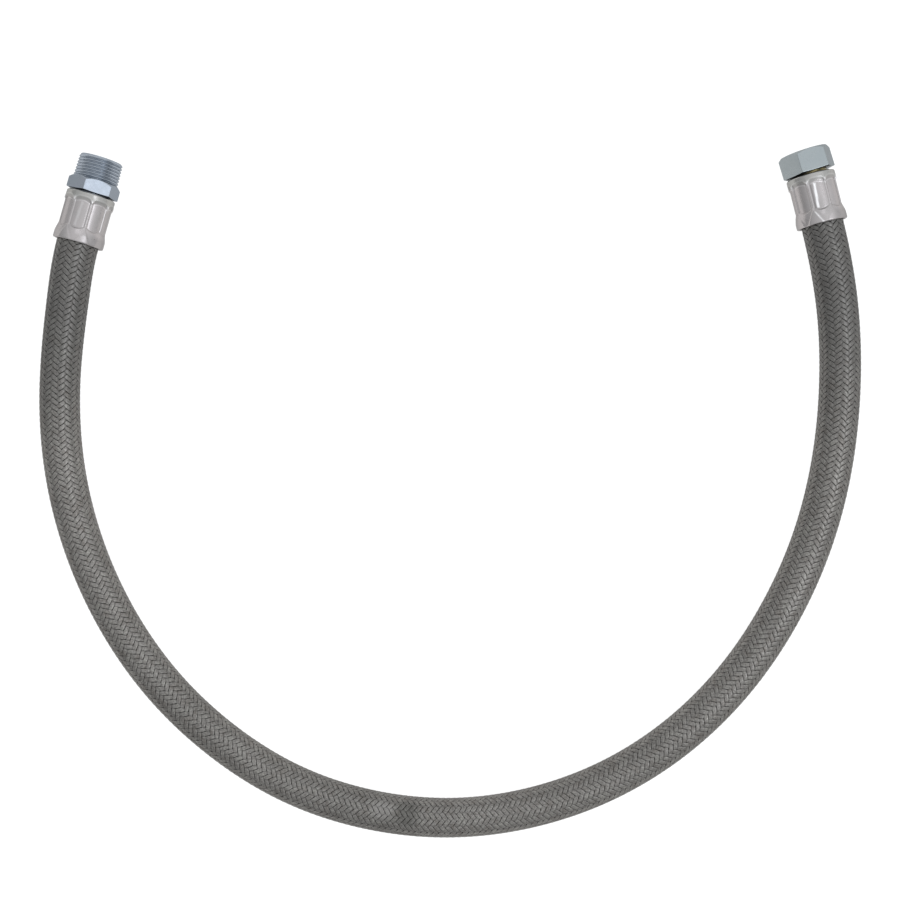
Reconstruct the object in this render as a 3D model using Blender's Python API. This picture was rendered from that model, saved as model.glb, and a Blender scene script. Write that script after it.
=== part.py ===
"""Wire-braided flexible tube with a fixed male fitting and a swivel nut.

The tube lies in a wide U on a flat surface. Units are metres, +Z is up, +X runs across the U from
the male fitting to the swivel fitting, and both fittings point roughly along +Y. The origin is on
the surface, at the middle of the part's footprint.

Each fitting is modelled along its own axis: distances along the axis start at the mouth of the
ferrule, where the hose goes in, and grow towards the fitting's free end. Angles round the axis
start at the side to the right of somebody who looks along it from above, and grow upwards.
"""

import math

import bmesh
import bpy
import numpy as np
from mathutils import Matrix, Vector

# Fits. Parts that touch are held apart by FIT. The nut has NUT_PLAY round its neck.
FIT = 0.0003
NUT_PLAY = 0.0005

# Hose: a rubber tube inside a sleeve of woven steel wire.
HOSE_RADIUS = 0.0152
BRAID_WALL = 0.0007
LINER_WALL = 0.0027
HOSE_SIDES = 16
HOSE_RING_SPACING = 0.032

# Where the ferrules' mouths lie, and how far each fitting is turned clockwise from +Y.
MALE_MOUTH = (-0.2791, 0.1866)
MALE_HEADING = math.radians(15.9)
SWIVEL_MOUTH = (0.2797, 0.2011)
SWIVEL_HEADING = math.radians(-14.0)

# The hose's way from the male ferrule round to the swivel ferrule, seen from above.
HOSE_ROUTE = [
    (-0.2868, 0.1442), (-0.2933, 0.0817), (-0.2903, 0.0197), (-0.2758, -0.0398), (-0.2508, -0.0953),
    (-0.2158, -0.1453), (-0.1713, -0.1873), (-0.1188, -0.2198), (-0.0598, -0.2393), (0.0017, -0.2453),
    (0.0627, -0.2373), (0.1207, -0.2163), (0.1717, -0.1838), (0.2147, -0.1413), (0.2482, -0.0918),
    (0.2727, -0.0373), (0.2877, 0.0207), (0.2937, 0.0812), (0.2907, 0.1442),
]
# Over this length the hose comes down from a fitting's axis to lie on the surface.
HOSE_FALL = 0.160

# Ferrule: a steel sleeve pressed onto the hose by eight jaws. The shares say how high a ridge
# stands, and how far it spreads over half a jaw, where it runs out into the flare and the bead.
# The arcs are how much further a panel reaches at its middle than at the ridges beside it, and the
# panel shares are where its corners lie between ridge and middle.
FERRULE_LENGTH = 0.0375
FERRULE_WALL = 0.0015
JAWS = 8
PANEL_START = 0.0129
PANEL_START_ARC = 0.0026
PANEL_END = 0.0288
PANEL_END_ARC = 0.0018
PANEL_STEP_LENGTH = 0.0012
RIDGE_HEIGHT = 0.00065
RIDGE_HALF_ANGLE = math.radians(5.0)
RIDGE_CREST_HALF_ANGLE = math.radians(1.7)
FLARE_RISE = 0.0016
FLARE_RIDGE_RISE = 0.000555
FLARE_LENGTH = 0.0050
MOUTH_WALL = 0.0012
RIM_ROUND = 0.0012
BEAD_RISE = 0.0010
BEAD_STEP_LENGTH = 0.0030
BEAD_LENGTH = 0.0056
LIP_LENGTH = 0.0036
LIP_FRONT_ROUND = 0.0011
RIDGE_FLARE_SPREAD = 0.6
RIDGE_FOOT_SPREAD = 0.32
RIDGE_FOOT_HEIGHT = 1.1
RIDGE_BEAD_SPREAD = 0.5
RIDGE_BEAD_HEIGHT = 0.4
FLARE_FOOT_SHARE = 0.2
PANEL_SHARES = (0.6, 0.8)
MALE_FERRULE_TURN = math.radians(23.1)
SWIVEL_FERRULE_TURN = math.radians(28.0)

# Barbed tail that both nipples push into the rubber tube.
TAIL_START = 0.0022
TAIL_BARBS = 5
BARB_DEPTH = 0.0007
BARB_BACK_SHARE = 0.3
TAIL_WALL = 0.0013
NECK_STEP = 0.0018

# Male nipple: collar of six flats and a taper thread.
MALE_FLATS = 0.034
MALE_FLATS_TURN = math.radians(36.2)
MALE_HEX_GAP = 0.0010
MALE_HEX_LENGTH = 0.0102
THREAD_LENGTH = 0.0171
THREAD_RADIUS = 0.01675
THREAD_TAPER = 1.0 / 16.0
THREAD_END_CHAMFER = 0.0011

# Swivel nipple: a thin collar in front of the ferrule, a neck for the nut and a cone-nosed head.
COLLAR_LENGTH = 0.0006
COLLAR_STEP = 0.0023
HEAD_OVERLAP = 0.0010
HEAD_LENGTH = 0.0020
NOSE_HALF_ANGLE = math.radians(30.0)
NOSE_WALL = 0.0016

# Swivel nut. It hangs loosely on its neck, leaning by NUT_LEAN from the nipple's axis.
NUT_FLATS = 0.035
NUT_FLATS_TURN = math.radians(58.5)
NUT_LENGTH = 0.0166
NUT_BACK_WALL = 0.0038
NUT_BORE_RADIUS = 0.01515
NUT_MOUTH_CHAMFER = 0.0010
NUT_LEAN = math.radians(3.0)

# Chamfers on the corners of both hexagons, along the axis for each metre outwards.
FRONT_CHAMFER_SLOPE = 0.95
BACK_CHAMFER_SLOPE = 0.45

TURNED_STEPS = 32
WELD = 0.00001
SHARP_ANGLE = math.radians(32.0)


# Sizes that follow from the ones above.
def polygon_inside(radius, sides):
    """Radius of the circle that fits inside a polygon whose corners lie at the given radius."""
    return radius * math.cos(math.pi / sides)


LINER_RADIUS = polygon_inside(HOSE_RADIUS - BRAID_WALL, HOSE_SIDES) - FIT
LINER_BORE = LINER_RADIUS - LINER_WALL
TAIL_RADIUS = polygon_inside(LINER_BORE, HOSE_SIDES) - FIT
NIPPLE_BORE = TAIL_RADIUS - BARB_DEPTH - TAIL_WALL
NECK_RADIUS = TAIL_RADIUS + NECK_STEP

LIP_START = FERRULE_LENGTH - LIP_LENGTH
HOSE_SEAT = LIP_START - FIT
NECK_START = HOSE_SEAT + FIT
FERRULE_BORE = HOSE_RADIUS + FIT
PANEL_RADIUS = FERRULE_BORE + FERRULE_WALL
FLARE_RADIUS = PANEL_RADIUS + FLARE_RISE
BEAD_RADIUS = PANEL_RADIUS + BEAD_RISE
SLOPE_MIDDLE = (FLARE_LENGTH + PANEL_START - PANEL_STEP_LENGTH) / 2.0

COLLAR_START = FERRULE_LENGTH + FIT
COLLAR_RADIUS = NECK_RADIUS + COLLAR_STEP
NUT_HOLE = NECK_RADIUS + NUT_PLAY
HEAD_RADIUS = NUT_HOLE + HEAD_OVERLAP
NUT_BACK = COLLAR_START + COLLAR_LENGTH + FIT + COLLAR_RADIUS * math.sin(NUT_LEAN)
HEAD_START = NUT_BACK + NUT_BACK_WALL + FIT + HEAD_RADIUS * math.sin(NUT_LEAN)

MALE_HEX_START = FERRULE_LENGTH + MALE_HEX_GAP
THREAD_START = MALE_HEX_START + MALE_HEX_LENGTH


def clear_scene():
    for existing in list(bpy.data.objects):
        bpy.data.objects.remove(existing, do_unlink=True)


def material(name, colour, roughness, metallic):
    made = bpy.data.materials.new(name)
    made.use_nodes = True
    shader = made.node_tree.nodes["Principled BSDF"]
    shader.inputs["Base Color"].default_value = (*colour, 1.0)
    shader.inputs["Roughness"].default_value = roughness
    shader.inputs["Metallic"].default_value = metallic
    return made


def add_object(name, mesh, finish=None, parent=None):
    made = bpy.data.objects.new(name, mesh)
    bpy.context.scene.collection.objects.link(made)
    made.parent = parent
    if finish is not None:
        mesh.materials.append(finish)
    return made


def hide_cutter(cutter):
    cutter.hide_render = True
    cutter.display_type = 'WIRE'


def fitting_frame(name, mouth, heading, height):
    """Empty at a ferrule's mouth whose Z runs along the fitting, with X to its right and Y down."""
    frame = bpy.data.objects.new(name, None)
    bpy.context.scene.collection.objects.link(frame)
    frame.location = (*mouth, height)
    frame.rotation_euler = (-math.pi / 2, 0.0, -heading)
    return frame


def ring_loft(name, rings):
    """Hollow body whose wall passes through the rings in turn and comes back to the first."""
    model = bmesh.new()
    loops = [[model.verts.new(point) for point in ring] for ring in rings]
    for near, far in zip(loops, loops[1:] + loops[:1]):
        for i in range(len(near)):
            j = (i + 1) % len(near)
            model.faces.new((near[i], near[j], far[j], far[i]))
    bmesh.ops.recalc_face_normals(model, faces=model.faces)
    mesh = bpy.data.meshes.new(name)
    model.to_mesh(mesh)
    model.free()
    mesh.shade_smooth()
    mesh.set_sharp_from_angle(angle=SHARP_ANGLE)
    return mesh


def turned(name, profile, parent, closed=False, finish=None):
    """Body turned about the frame's axis. The profile of (radius, distance) runs down its outer side.

    A closed profile goes round a ring. An open one starts and ends on the axis."""
    mesh = bpy.data.meshes.new(name)
    points = [(radius, 0.0, distance) for radius, distance in profile]
    edges = [(i, i + 1) for i in range(len(points) - 1)]
    if closed:
        edges.append((len(points) - 1, 0))
    mesh.from_pydata(points, edges, [])
    body = add_object(name, mesh, finish, parent)
    lathe = body.modifiers.new("lathe", 'SCREW')
    lathe.axis = 'Z'
    lathe.angle = 2.0 * math.pi
    lathe.steps = TURNED_STEPS
    lathe.render_steps = TURNED_STEPS
    lathe.use_merge_vertices = True
    lathe.merge_threshold = WELD
    lathe.use_smooth_shade = True
    return body


def boolean(body, cutter, operation):
    step = body.modifiers.new(cutter.name, 'BOOLEAN')
    step.operation = operation
    step.solver = 'EXACT'
    step.object = cutter
    hide_cutter(cutter)


def corner_radius(flats):
    return flats / 2.0 / math.cos(math.pi / 6.0)


def chamfered_hexagon(name, flats, turn, start, length, parent, finish):
    """Hexagonal bar with both ends chamfered by a cone that starts at the circle inside the flats.

    The turn is the angle of one corner. The blank is made with a corner on its Y axis."""
    corner = corner_radius(flats)
    model = bmesh.new()
    bmesh.ops.create_cone(model, cap_ends=True, segments=6, radius1=corner, radius2=corner, depth=length)
    middle = Matrix.Translation((0.0, 0.0, start + length / 2.0))
    turned_round = Matrix.Rotation(math.pi / 6.0 - turn, 4, 'Z')
    bmesh.ops.transform(model, matrix=middle @ turned_round, verts=model.verts)
    mesh = bpy.data.meshes.new(name)
    model.to_mesh(mesh)
    model.free()
    body = add_object(name, mesh, finish, parent)

    inner = flats / 2.0
    beyond = corner * 1.1
    end = start + length
    envelope = turned(name + "_envelope", [
        (0.0, end),
        (inner, end),
        (beyond, end - (beyond - inner) * FRONT_CHAMFER_SLOPE),
        (beyond, start + (beyond - inner) * BACK_CHAMFER_SLOPE),
        (inner, start),
        (0.0, start),
    ], parent)
    boolean(body, envelope, 'INTERSECT')
    return body


def tail_profile():
    """Outer side of the barbed tail, from the neck down to the end inside the hose.

    Each barb is a saw tooth: its steep side holds the rubber tube against being pulled off."""
    pitch = (NECK_START - TAIL_START) / TAIL_BARBS
    points = [(NECK_RADIUS, NECK_START), (TAIL_RADIUS - BARB_DEPTH, NECK_START)]
    for i in range(TAIL_BARBS, 0, -1):
        top = TAIL_START + i * pitch
        if i < TAIL_BARBS:
            points.append((TAIL_RADIUS - BARB_DEPTH, top))
        points.append((TAIL_RADIUS, top - BARB_BACK_SHARE * pitch))
    points.append((TAIL_RADIUS - BARB_DEPTH, TAIL_START))
    return points


def ferrule_outside(distance, from_ridge):
    """Outer radius of the pressed ferrule at a distance from its mouth and an angle from a ridge.

    The jaws leave a panel each and a ridge with a flat crest between panels. Beyond the panels the
    ridges spread out into the flare at the mouth and the bead at the front."""
    half_jaw = math.pi / JAWS
    slope_end = PANEL_START - PANEL_STEP_LENGTH
    slope_foot = PANEL_RADIUS + FLARE_FOOT_SHARE * FLARE_RISE
    flare_ridge = FLARE_RIDGE_RISE + RIDGE_HEIGHT * RIDGE_FLARE_SPREAD
    bead_ridge = RIDGE_HEIGHT * RIDGE_BEAD_HEIGHT
    stations = [
        # distance, radius at mid panel, height of the ridge over it, half angle of the ridge
        (0.0, FLARE_RADIUS - RIM_ROUND / 2.0, FLARE_RIDGE_RISE / 2.0, half_jaw),
        (RIM_ROUND, FLARE_RADIUS, FLARE_RIDGE_RISE, half_jaw),
        (FLARE_LENGTH, FLARE_RADIUS, FLARE_RIDGE_RISE, half_jaw),
        (SLOPE_MIDDLE, (FLARE_RADIUS + slope_foot) / 2.0, flare_ridge, half_jaw * RIDGE_FLARE_SPREAD),
        (slope_end, slope_foot, RIDGE_HEIGHT * RIDGE_FOOT_HEIGHT, half_jaw * RIDGE_FOOT_SPREAD),
        (PANEL_START, PANEL_RADIUS, RIDGE_HEIGHT, RIDGE_HALF_ANGLE),
        (PANEL_END, PANEL_RADIUS, RIDGE_HEIGHT, RIDGE_HALF_ANGLE),
        (PANEL_END + BEAD_STEP_LENGTH, BEAD_RADIUS, bead_ridge, half_jaw * RIDGE_BEAD_SPREAD),
        (PANEL_END + BEAD_LENGTH, BEAD_RADIUS, bead_ridge, half_jaw),
        (FERRULE_LENGTH - LIP_FRONT_ROUND, BEAD_RADIUS, bead_ridge, half_jaw),
        (FERRULE_LENGTH, BEAD_RADIUS - LIP_FRONT_ROUND, 0.0, half_jaw),
    ]
    along = [station[0] for station in stations]
    base, rise, half = (np.interp(distance, along, [s[k] for s in stations]) for k in (1, 2, 3))
    flank = (half - abs(from_ridge)) / (half - RIDGE_CREST_HALF_ANGLE)
    return base + rise * min(max(flank, 0.0), 1.0)


def ferrule_mesh():
    """Pressed sleeve with an open mouth at the hose side and a lip that closes in on the neck."""
    half_jaw = math.pi / JAWS
    beside_ridge = [RIDGE_CREST_HALF_ANGLE, RIDGE_HALF_ANGLE, *(half_jaw * share for share in PANEL_SHARES)]
    within_jaw = [-half_jaw, *(-offset for offset in reversed(beside_ridge)), *beside_ridge]
    angles = [(jaw * 2.0 * half_jaw + offset, offset) for jaw in range(JAWS) for offset in within_jaw]

    def ring(distance, radius_at, arc=0.0):
        points = []
        for angle, offset in angles:
            radius = radius_at(offset)
            reach = distance + arc * (1.0 - (1.0 - abs(offset) / half_jaw) ** 2)
            points.append((radius * math.cos(angle), radius * math.sin(angle), reach))
        return points

    # Distances of the rings on the outside, and how far each panel edge bulges at mid panel.
    outside = [
        (0.0, 0.0), (RIM_ROUND, 0.0), (FLARE_LENGTH, 0.0),
        (SLOPE_MIDDLE, -PANEL_START_ARC / 2.0),
        (PANEL_START - PANEL_STEP_LENGTH, -PANEL_START_ARC), (PANEL_START, -PANEL_START_ARC),
        (PANEL_END, PANEL_END_ARC), (PANEL_END + BEAD_STEP_LENGTH, PANEL_END_ARC),
        (PANEL_END + BEAD_LENGTH, PANEL_END_ARC / 2.0), (FERRULE_LENGTH - LIP_FRONT_ROUND, 0.0),
        (FERRULE_LENGTH, 0.0),
    ]
    rings = [ring(distance, lambda offset, d=distance: ferrule_outside(d, offset), arc)
             for distance, arc in outside]

    mouth_bore = FLARE_RADIUS - MOUTH_WALL - RIM_ROUND / 2.0
    lip_bore = NECK_RADIUS + FIT
    inside = [
        (FERRULE_LENGTH, lip_bore), (LIP_START, lip_bore), (LIP_START, FERRULE_BORE),
        (PANEL_START - PANEL_STEP_LENGTH, FERRULE_BORE), (FLARE_LENGTH, mouth_bore), (0.0, mouth_bore),
    ]
    rings += [ring(distance, lambda offset, r=radius: r) for distance, radius in inside]
    return ring_loft("pressed_ferrule", rings)


def hexagon_reach(flats, turn):
    """How far a turned hexagon reaches below its axis."""
    corner = corner_radius(flats)
    return max(-corner * math.sin(turn + k * math.pi / 3.0) for k in range(6))


def ferrule_reach(mesh, turn):
    """How far a turned ferrule reaches below its axis."""
    turned_round = Matrix.Rotation(-turn, 3, 'Z')
    return max((turned_round @ vertex.co).y for vertex in mesh.vertices)


def add_ferrule(name, mesh, turn, parent):
    ferrule = bpy.data.objects.new(name, mesh)
    bpy.context.scene.collection.objects.link(ferrule)
    ferrule.parent = parent
    ferrule.rotation_euler = (0.0, 0.0, -turn)
    return ferrule


def add_male_nipple(parent, finish):
    nipple = chamfered_hexagon("male_nipple", MALE_FLATS, MALE_FLATS_TURN, MALE_HEX_START,
                               MALE_HEX_LENGTH, parent, finish)
    tip = THREAD_START + THREAD_LENGTH
    tip_radius = THREAD_RADIUS - THREAD_LENGTH * THREAD_TAPER / 2.0
    turning = turned("male_nipple_turning", [
        (0.0, tip),
        (tip_radius - THREAD_END_CHAMFER, tip),
        (tip_radius, tip - THREAD_END_CHAMFER * 1.5),
        (THREAD_RADIUS, THREAD_START - FIT),
        (NECK_RADIUS, THREAD_START - FIT),
        *tail_profile(),
        (0.0, TAIL_START),
    ], parent)
    boolean(nipple, turning, 'UNION')
    bore = turned("male_nipple_bore", [
        (0.0, tip + NIPPLE_BORE), (NIPPLE_BORE, tip + NIPPLE_BORE), (NIPPLE_BORE, 0.0), (0.0, 0.0),
    ], parent)
    boolean(nipple, bore, 'DIFFERENCE')
    return nipple


def add_swivel_nipple(parent, finish):
    """Turned nipple with a cone nose that seals in the coned end of a male union."""
    head_end = HEAD_START + HEAD_LENGTH
    nose_radius = NIPPLE_BORE + NOSE_WALL
    nose_end = head_end + (HEAD_RADIUS - nose_radius) / math.tan(NOSE_HALF_ANGLE)
    profile = [
        (NIPPLE_BORE, nose_end),
        (nose_radius, nose_end),
        (HEAD_RADIUS, head_end),
        (HEAD_RADIUS, HEAD_START),
        (NECK_RADIUS, HEAD_START),
        (NECK_RADIUS, COLLAR_START + COLLAR_LENGTH),
        (COLLAR_RADIUS, COLLAR_START + COLLAR_LENGTH),
        (COLLAR_RADIUS, COLLAR_START),
        (NECK_RADIUS, COLLAR_START),
        *tail_profile(),
        (NIPPLE_BORE, TAIL_START),
    ]
    return turned("swivel_nipple", profile, parent, closed=True, finish=finish)


def add_swivel_nut(parent, finish):
    nut = chamfered_hexagon("swivel_nut", NUT_FLATS, NUT_FLATS_TURN, 0.0, NUT_LENGTH, parent, finish)
    over = NUT_LENGTH * 0.1
    socket = turned("swivel_nut_socket", [
        (0.0, NUT_LENGTH + over),
        (NUT_BORE_RADIUS + NUT_MOUTH_CHAMFER + over, NUT_LENGTH + over),
        (NUT_BORE_RADIUS, NUT_LENGTH - NUT_MOUTH_CHAMFER),
        (NUT_BORE_RADIUS, NUT_BACK_WALL),
        (NUT_HOLE, NUT_BACK_WALL),
        (NUT_HOLE, -over),
        (0.0, -over),
    ], parent)
    boolean(nut, socket, 'DIFFERENCE')
    return nut


def smooth_step(t):
    t = min(max(t, 0.0), 1.0)
    return t * t * (3.0 - 2.0 * t)


def clamped_spline(points, start_direction, end_direction):
    """Cubic curve through the points with given directions at its ends.

    The parameter is the chord length. The slopes at the points solve the usual three-term
    equations that make the curve's second derivative continuous."""
    points = np.array(points, float)
    chords = np.linalg.norm(np.diff(points, axis=0), axis=1)
    knots = np.concatenate([[0.0], np.cumsum(chords)])
    count = len(points)
    system = np.eye(count)
    right = np.zeros((count, 3))
    right[0] = start_direction
    right[-1] = end_direction
    for i in range(1, count - 1):
        before, after = chords[i - 1], chords[i]
        system[i, i - 1:i + 2] = (after, 2.0 * (before + after), before)
        right[i] = 3.0 * (after / before * (points[i] - points[i - 1])
                          + before / after * (points[i + 1] - points[i]))
    slopes = np.linalg.solve(system, right)

    def at(distance):
        i = int(np.clip(np.searchsorted(knots, distance) - 1, 0, count - 2))
        h = chords[i]
        t = (distance - knots[i]) / h
        return (points[i] * (1 + 2 * t) * (1 - t) ** 2 + slopes[i] * h * t * (1 - t) ** 2
                + points[i + 1] * t * t * (3 - 2 * t) + slopes[i + 1] * h * t * t * (t - 1))

    return at, knots[-1]


def hose_centreline(male, swivel):
    """Points from the hose's end in the male ferrule to its end in the swivel ferrule.

    The hose runs straight as far as the nipples' tails reach, and along the route between them,
    where it never dips below the surface that it lies on."""
    male_matrix, swivel_matrix = male.matrix_world, swivel.matrix_world
    male_axis = np.array(male_matrix.to_3x3() @ Vector((0.0, 0.0, 1.0)))
    swivel_axis = np.array(swivel_matrix.to_3x3() @ Vector((0.0, 0.0, 1.0)))
    start = np.array(male_matrix @ Vector((0.0, 0.0, TAIL_START)))
    end = np.array(swivel_matrix @ Vector((0.0, 0.0, TAIL_START)))

    flat = [start[:2], *(np.array(point) for point in HOSE_ROUTE), end[:2]]
    steps = [np.linalg.norm(b - a) for a, b in zip(flat, flat[1:])]
    walked = np.concatenate([[0.0], np.cumsum(steps)])
    middle = []
    for point, distance in zip(flat[1:-1], walked[1:-1]):
        lift = (start[2] - HOSE_RADIUS) * (1.0 - smooth_step(distance / HOSE_FALL))
        lift += (end[2] - HOSE_RADIUS) * (1.0 - smooth_step((walked[-1] - distance) / HOSE_FALL))
        middle.append((*point, HOSE_RADIUS + lift))

    at, length = clamped_spline([start, *middle, end], -male_axis, swivel_axis)
    count = round(length / HOSE_RING_SPACING)
    free = [at(length * i / count) for i in range(count + 1)]
    for point in free:
        point[2] = max(point[2], HOSE_RADIUS)
    seat = HOSE_SEAT - TAIL_START
    return [start + male_axis * seat, *free, end + swivel_axis * seat]


def hollow_sweep(name, centreline, outer, inner, finish):
    """Pipe of even wall along the centreline, with a corner of each ring straight below the centre."""
    centreline = np.array(centreline)
    forward = np.gradient(centreline, axis=0)
    forward[0] = centreline[1] - centreline[0]
    forward[-1] = centreline[-1] - centreline[-2]
    forward[1] = forward[0]
    forward[-2] = forward[-1]
    angles = 2.0 * np.pi * np.arange(HOSE_SIDES) / HOSE_SIDES

    def ring(centre, direction, radius):
        direction = direction / np.linalg.norm(direction)
        side = np.cross(direction, (0.0, 0.0, 1.0))
        side /= np.linalg.norm(side)
        up = np.cross(side, direction)
        return [tuple(centre + radius * (math.cos(a) * side + math.sin(a) * up)) for a in angles]

    rings = [ring(c, f, outer) for c, f in zip(centreline, forward)]
    rings += [ring(c, f, inner) for c, f in zip(centreline[::-1], forward[::-1])]
    return add_object(name, ring_loft(name, rings), finish)


def build():
    clear_scene()
    zinc = material("zinc_plate", (0.42, 0.45, 0.50), 0.34, 1.0)
    pressed_steel = material("pressed_steel", (0.40, 0.385, 0.375), 0.42, 1.0)
    brass = material("brass", (0.62, 0.50, 0.22), 0.35, 1.0)
    wire = material("braid_wire", (0.17, 0.165, 0.155), 0.45, 0.8)
    rubber = material("liner_rubber", (0.02, 0.02, 0.02), 0.7, 0.0)

    ferrule = ferrule_mesh()
    ferrule.materials.append(pressed_steel)
    male_height = max(ferrule_reach(ferrule, MALE_FERRULE_TURN),
                      hexagon_reach(MALE_FLATS, MALE_FLATS_TURN))
    swivel_height = max(ferrule_reach(ferrule, SWIVEL_FERRULE_TURN),
                        hexagon_reach(NUT_FLATS, NUT_FLATS_TURN))
    male = fitting_frame("male_frame", MALE_MOUTH, MALE_HEADING, male_height)
    swivel = fitting_frame("swivel_frame", SWIVEL_MOUTH, SWIVEL_HEADING, swivel_height)

    # The nut's frame sits on the nipple's axis at the nut's back face and leans to the left.
    nut_frame = bpy.data.objects.new("nut_frame", None)
    bpy.context.scene.collection.objects.link(nut_frame)
    nut_frame.parent = swivel
    nut_frame.location = (0.0, 0.0, NUT_BACK)
    nut_frame.rotation_euler = (0.0, -NUT_LEAN, 0.0)
    bpy.context.view_layer.update()

    add_ferrule("male_ferrule", ferrule, MALE_FERRULE_TURN, male)
    add_ferrule("swivel_ferrule", ferrule, SWIVEL_FERRULE_TURN, swivel)
    add_male_nipple(male, zinc)
    add_swivel_nipple(swivel, brass)
    add_swivel_nut(nut_frame, zinc)

    centreline = hose_centreline(male, swivel)
    hollow_sweep("wire_braid", centreline, HOSE_RADIUS, HOSE_RADIUS - BRAID_WALL, wire)
    hollow_sweep("rubber_liner", centreline, LINER_RADIUS, LINER_BORE, rubber)


build()
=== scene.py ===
"""Wire-braided flexible tube with a male fitting and a swivel nut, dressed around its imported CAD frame.

Units are metres and the frame is the CAD's: +Z up, the tube in a wide U on the floor, both fittings
pointing roughly along +Y. Each fitting has its own frame: distances along its axis start at its
ferrule's mouth, and angles round the axis start on its right-hand side and grow upwards.
"""
import math

import bpy
import numpy as np
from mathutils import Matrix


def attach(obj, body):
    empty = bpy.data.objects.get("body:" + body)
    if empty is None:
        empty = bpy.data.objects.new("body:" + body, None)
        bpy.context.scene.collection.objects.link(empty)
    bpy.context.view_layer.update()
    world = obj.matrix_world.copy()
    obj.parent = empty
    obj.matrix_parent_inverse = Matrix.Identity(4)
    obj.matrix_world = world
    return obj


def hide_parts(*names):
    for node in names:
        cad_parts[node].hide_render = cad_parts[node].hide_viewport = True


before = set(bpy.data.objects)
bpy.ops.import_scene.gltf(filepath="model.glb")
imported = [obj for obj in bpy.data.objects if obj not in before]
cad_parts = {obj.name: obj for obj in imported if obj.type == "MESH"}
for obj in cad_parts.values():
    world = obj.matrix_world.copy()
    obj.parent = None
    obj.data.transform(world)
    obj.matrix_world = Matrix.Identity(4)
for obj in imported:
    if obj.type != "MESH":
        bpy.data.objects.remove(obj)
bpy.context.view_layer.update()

MM = 0.001

# Fittings: where each ferrule's mouth lies, and how far the fitting is turned clockwise from +Y.
MALE_MOUTH = (-0.2791, 0.1866, 0.019515)
MALE_HEADING = 15.9
SWIVEL_MOUTH = (0.2797, 0.2011, 0.018805)
SWIVEL_HEADING = -14.0
NUT_BACK = 39.475
NUT_LEAN = 3.0

# The hose's way, repeated from the part's source, with the height over which it comes down.
HOSE_RADIUS = 0.0152
HOSE_ROUTE = np.array([
    (-0.2868, 0.1442), (-0.2933, 0.0817), (-0.2903, 0.0197), (-0.2758, -0.0398), (-0.2508, -0.0953),
    (-0.2158, -0.1453), (-0.1713, -0.1873), (-0.1188, -0.2198), (-0.0598, -0.2393), (0.0017, -0.2453),
    (0.0627, -0.2373), (0.1207, -0.2163), (0.1717, -0.1838), (0.2147, -0.1413), (0.2482, -0.0918),
    (0.2727, -0.0373), (0.2877, 0.0207), (0.2937, 0.0812), (0.2907, 0.1442),
])
HOSE_FALL = 0.160
HOSE_SEAT = 0.0336
TAIL_START = 0.0022
LINER_BORE = 0.01075
# Outside radius of the braid in mm, at shares of the way from mouth to mouth.
HOSE_SWELL = [(-0.03, 15.25), (-0.012, 15.3), (0.0, 15.65), (0.03, 15.5), (0.08, 15.0), (0.3, 14.85),
              (0.5, 14.65), (0.62, 14.9), (0.75, 15.3), (0.93, 15.35), (0.98, 15.6), (1.0, 15.65),
              (1.012, 15.3), (1.03, 15.25)]
# The dark layer under the strands, and the gaps on both sides of it.
CORE_OVERLAP = 0.00006
CORE_WALL = 0.0004
CORE_GAP = 0.00002
TUBE_RINGS = 480
TUBE_SIDES = 48

# Weave: strands each way, and the section of one strand of side-by-side wires. The waist is the
# share of its width that a strand loses where it passes from over to under, the dip is how deep it
# goes in shares of its thickness, and the squareness is how flat its wave's tops are.
STRANDS = 18
STRANDS_PER_PIECE = 4
WIRES = 7
STEPS_PER_ROW = 2
STRAND_WIDTH = 0.0032
STRAND_WAIST = 0.26
STRAND_THICKNESS = 0.00058
STRAND_CROWN = 0.2
STRAND_DIP = 0.95
WAVE_SQUARENESS = 1.7
WIRE_RISE = 0.00013
# Stations along the hose of (share of its length, value): rows of crossings per metre, the weave's
# turn in degrees, and the rows by which the weave has slipped back.
ROWS_PER_METRE = [(0.0, 455.0), (0.15, 455.0), (0.35, 462.0), (0.56, 469.0), (0.77, 463.0), (0.9, 457.0),
                  (1.0, 457.0)]
WEAVE_TURN = [(0.0, 83.0), (0.25, 84.5), (0.42, 83.2), (0.58, 80.3), (0.75, 83.3), (1.0, 83.3)]
ROWS_BACK = [(0.0, -0.8), (0.17, -0.8), (0.22, -0.55), (0.27, -0.4), (0.41, -0.32), (0.455, 0.04),
             (0.5, 0.09), (0.55, -0.16), (0.62, -0.49), (0.69, -0.4), (0.785, -0.22), (0.83, -0.05),
             (0.88, 0.37), (0.93, 0.12), (1.0, 0.12)]

# Stains on the braid: place, reach, strength and colour.
STAINS = [((-0.0315, -0.2395, 0.028), 0.013, 0.6, (0.09, 0.088, 0.08)),
          ((-0.050, -0.2365, 0.028), 0.010, 0.55, (0.30, 0.288, 0.274))]


# Surfaces.
def fitting_frame(mouth, heading):
    """Origin, right, up and forward directions of a fitting, as the columns of its frame."""
    turn = math.radians(heading)
    right = np.array([math.cos(turn), -math.sin(turn), 0.0])
    forward = np.array([math.sin(turn), math.cos(turn), 0.0])
    return np.array(mouth), right, np.array([0.0, 0.0, 1.0]), forward


MALE = fitting_frame(MALE_MOUTH, MALE_HEADING)
SWIVEL = fitting_frame(SWIVEL_MOUTH, SWIVEL_HEADING)
NUT = fitting_frame(SWIVEL[0] + SWIVEL[3] * NUT_BACK * MM, SWIVEL_HEADING - NUT_LEAN)


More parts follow.
